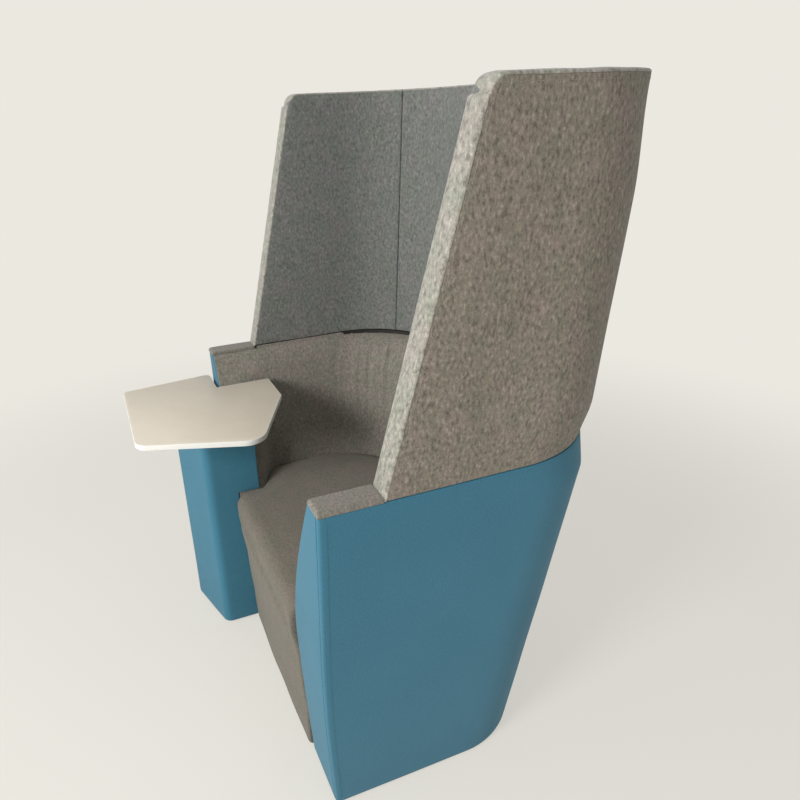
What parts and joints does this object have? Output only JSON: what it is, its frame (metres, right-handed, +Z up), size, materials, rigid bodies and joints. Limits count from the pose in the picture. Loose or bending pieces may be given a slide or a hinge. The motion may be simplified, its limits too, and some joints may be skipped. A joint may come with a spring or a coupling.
{
  "type": "high-back pod armchair with a swivel tablet",
  "caption": "High-backed upholstered pod chair with rounded arms, a wrap-round privacy screen on the tub and a swivelling writing tablet on a side pedestal.",
  "frame": {"origin": "on the floor, under the middle of the whole chair's box, tablet and screen counted in", "axes": "+Z is up. The sitter looks along -Y. The tablet and its pedestal are at -X, the sitter's right."},
  "size_m": [0.95, 0.915, 1.4],
  "materials": {
    "blue_wool": "woven wool, matte",
    "taupe_wool": "melange wool, matte",
    "grey_wool": "melange wool, matte",
    "seat_wool": "melange wool, matte",
    "nylon": "black nylon",
    "webbing": "elastic webbing",
    "steel": "zinc plated",
    "cream_laminate": "cream laminate, satin",
    "white_edging": "white edging, satin",
    "plywood": "birch plywood, bare"
  },
  "bodies": {
    "chair": {"floor_board": "plywood", "glides": "nylon", "glide_nails": "steel", "outer_cover_left": "blue_wool", "outer_cover_right": "blue_wool", "side_panel_left": "plywood", "side_panel_right": "plywood", "back_panel": "plywood", "arm_facing_left": "blue_wool", "arm_facing_right": "blue_wool", "arm_ribs_left": "plywood", "arm_ribs_right": "plywood", "back_ribs": "plywood", "arm_cap_left": "taupe_wool", "arm_cap_right": "taupe_wool", "screen_rail": "plywood", "inner_arm_pad_left": "grey_wool", "inner_arm_pad_right": "grey_wool", "lower_back_pad": "grey_wool", "seat_frame": "plywood", "seat_webbing": "webbing", "front_board": "plywood", "seat_front_panel": "seat_wool", "seat_cushion": "seat_wool", "joining_studs": "steel", "screen_board_left": "plywood", "screen_board_right": "plywood", "screen_board_back": "plywood", "screen_outer_pad_left": "taupe_wool", "screen_outer_pad_right": "taupe_wool", "screen_inner_pad_left": "grey_wool", "screen_inner_pad_right": "grey_wool", "screen_inner_pad_back": "grey_wool", "screen_front_band_left": "grey_wool", "screen_front_band_right": "grey_wool", "screen_top_band": "grey_wool", "pedestal_base": "plywood", "pedestal_carcass": "plywood", "pedestal_bolts": "steel", "pedestal_top": "plywood", "pedestal_cover": "blue_wool", "pedestal_cheek": "blue_wool", "pivot_bush": "nylon", "stop_pin": "steel"},
    "tablet": {"pivot_spindle": "steel", "spindle_collar": "steel", "swivel_plate": "steel", "tablet_screws": "steel", "tablet_top": "cream_laminate", "tablet_edging": "white_edging"}
  },
  "joints": [
    {"name": "tablet_swivel", "type": "hinge", "parent": "chair", "child": "tablet", "pos_m": [-0.41, -0.2935, 0.69], "axis": [0, 0, 1], "range_deg": [-90, 0]}
  ]
}
